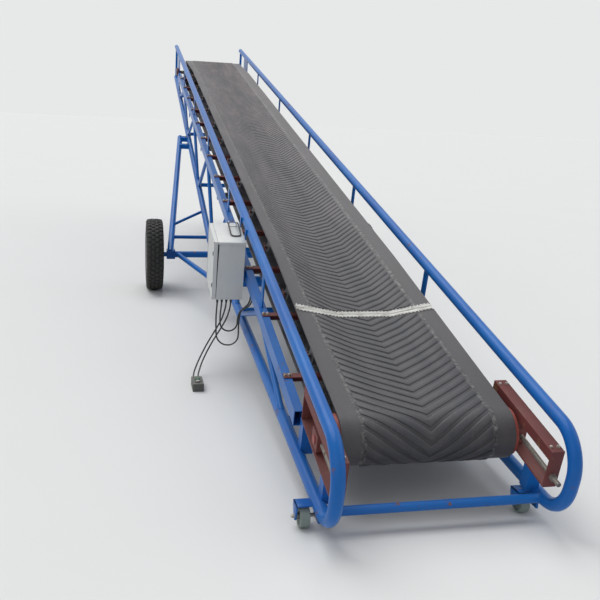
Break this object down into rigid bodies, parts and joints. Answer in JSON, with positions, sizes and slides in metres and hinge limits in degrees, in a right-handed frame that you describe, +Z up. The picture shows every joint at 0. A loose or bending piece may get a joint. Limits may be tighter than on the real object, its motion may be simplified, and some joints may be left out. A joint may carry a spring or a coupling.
{
  "type": "mobile belt conveyor, 10 m nominal, 800 mm belt",
  "caption": "Two-wheeled mobile belt conveyor with a troughed 800 mm belt on a blue fish-bellied tube truss, screw take-ups, tail wheels and a side control cabinet.",
  "frame": {"origin": "on the floor under the middle of the machine's bounding box, without the loose cords", "axes": "+Y from the low tail towards the raised head, +X to the right seen from the tail, +Z up"},
  "size_m": [2.198, 10.3184, 2.653],
  "materials": {
    "blue_paint": "satin",
    "red_oxide": "matte",
    "belt_rubber": "matte",
    "splice_steel": "satin",
    "tyre": "matte",
    "rim_paint": "satin",
    "bare_steel": "satin",
    "drum_steel": "satin",
    "roll_polymer": "matte",
    "nylon": "satin",
    "cabinet_grey": "satin",
    "gland_nylon": "matte",
    "pendant_shell": "matte",
    "cable_black": "matte"
  },
  "bodies": {
    "frame": {"axle_beam": "blue_paint", "belt": "belt_rubber", "belt_splice": "splice_steel", "cabinet_box": "cabinet_grey", "cabinet_hinges": "cabinet_grey", "cabinet_straps": "blue_paint", "cable_glands": "gland_nylon", "cross_tubes": "blue_paint", "head_chord_left": "blue_paint", "head_chord_right": "blue_paint", "head_drum": "drum_steel", "head_plates": "blue_paint", "idler_frames": "red_oxide", "idler_rolls_centre": "roll_polymer", "idler_rolls_left": "roll_polymer", "idler_rolls_right": "roll_polymer", "leg_brackets": "blue_paint", "leg_left": "blue_paint", "leg_right": "blue_paint", "leg_ties": "blue_paint", "lower_chord_left": "blue_paint", "lower_chord_right": "blue_paint", "motor_lead_inner": "cable_black", "motor_lead_outer": "cable_black", "pendant": "pendant_shell", "pendant_lead_a": "cable_black", "pendant_lead_b": "cable_black", "pipe_saddles": "blue_paint", "posts_left": "blue_paint", "posts_right": "blue_paint", "rail_left": "blue_paint", "rail_right": "blue_paint", "rear_pipe": "blue_paint", "return_hangers": "blue_paint", "return_rolls": "roll_polymer", "shaft_clamps": "red_oxide", "stringer_left": "blue_paint", "stringer_right": "blue_paint", "strut_left": "blue_paint", "strut_right": "blue_paint", "tail_axle_left": "bare_steel", "tail_axle_right": "bare_steel", "tail_bracket_left": "blue_paint", "tail_bracket_right": "blue_paint", "tail_drum": "drum_steel", "tail_posts": "blue_paint", "takeup_blocks": "red_oxide", "takeup_left": "red_oxide", "takeup_right": "red_oxide", "takeup_screws": "bare_steel", "webs_left": "blue_paint", "webs_right": "blue_paint"},
    "wheel_left": {"tyre_left": "tyre", "rim_left": "rim_paint"},
    "wheel_right": {"tyre_right": "tyre", "rim_right": "rim_paint"},
    "tail_wheel_left": {"tail_wheel_left": "nylon"},
    "tail_wheel_right": {"tail_wheel_right": "nylon"},
    "cabinet_door": {"cabinet_door": "cabinet_grey"}
  },
  "joints": [
    {"name": "wheel_left_spin", "type": "hinge", "parent": "frame", "child": "wheel_left", "pos_m": [-1.02, -0.34233, 0.335], "axis": [1, 0, 0], "continuous": true},
    {"name": "wheel_right_spin", "type": "hinge", "parent": "frame", "child": "wheel_right", "pos_m": [1.02, -0.34233, 0.335], "axis": [1, 0, 0], "continuous": true},
    {"name": "tail_wheel_left_spin", "type": "hinge", "parent": "frame", "child": "tail_wheel_left", "pos_m": [-0.56, -4.84872, 0.05], "axis": [1, 0, 0], "continuous": true},
    {"name": "tail_wheel_right_spin", "type": "hinge", "parent": "frame", "child": "tail_wheel_right", "pos_m": [0.44, -4.84872, 0.05], "axis": [1, 0, 0], "continuous": true},
    {"name": "cabinet_door_swing", "type": "hinge", "parent": "frame", "child": "cabinet_door", "pos_m": [-0.716, -2.51084, 0.75987], "axis": [0, 0.2079, -0.9781], "range_deg": [0, 110]}
  ]
}
